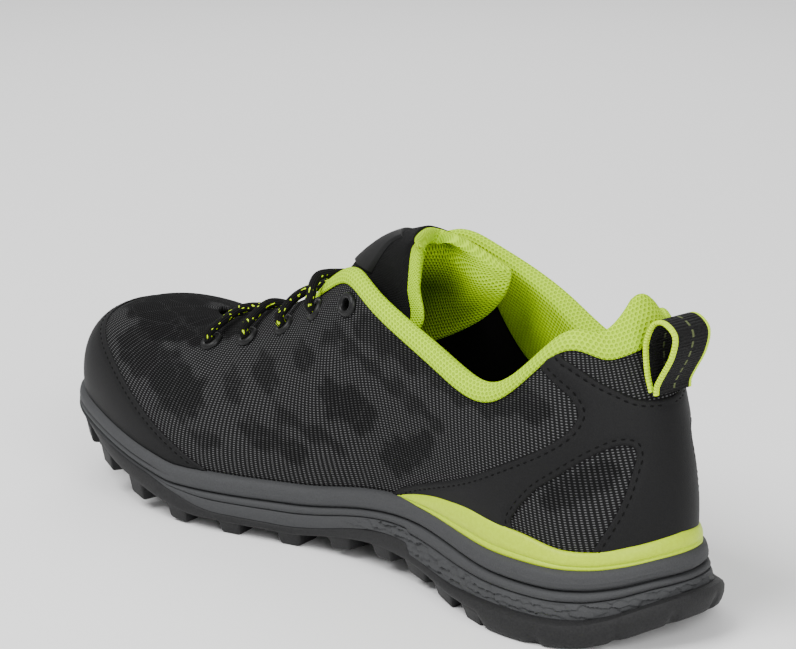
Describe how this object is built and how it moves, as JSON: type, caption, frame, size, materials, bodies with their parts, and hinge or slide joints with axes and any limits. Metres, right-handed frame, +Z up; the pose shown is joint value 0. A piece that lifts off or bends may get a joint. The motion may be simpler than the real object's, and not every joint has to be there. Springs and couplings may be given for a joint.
{
  "type": "trail running shoe",
  "caption": "Low lace-up trail running shoe with a mesh upper, padded collar, toe rand, heel counter, pull loop and a lugged sole.",
  "frame": {"origin": "middle of the box round the shoe, on the floor under the lugs", "axes": "+Z up, toe towards -X, heel towards +X, inner side of the foot towards -Y"},
  "size_m": [0.3036, 0.1124, 0.1219],
  "materials": {
    "rubber_black": "matte",
    "foam_grey": "matte",
    "foam_lime": "satin",
    "lining_dark": "matte",
    "mesh_black": "matte",
    "synthetic_black": "matte",
    "knit_lime": "matte",
    "webbing_black": "matte"
  },
  "bodies": {
    "root": {"outsole": "rubber_black", "midsole": "foam_grey", "heel_band": "foam_lime", "insole": "lining_dark", "upper": "mesh_black", "toe_cap": "synthetic_black", "heel_counter": "synthetic_black", "collar": "knit_lime", "tongue": "mesh_black", "tongue_patch": "synthetic_black", "eyelet_inner_1": "synthetic_black", "eyelet_inner_2": "synthetic_black", "eyelet_inner_3": "synthetic_black", "eyelet_inner_4": "synthetic_black", "eyelet_inner_5": "synthetic_black", "eyelet_outer_1": "synthetic_black", "eyelet_outer_2": "synthetic_black", "eyelet_outer_3": "synthetic_black", "eyelet_outer_4": "synthetic_black", "eyelet_outer_5": "synthetic_black", "lace": "webbing_black", "pull_loop": "webbing_black"}
  },
  "joints": []
}
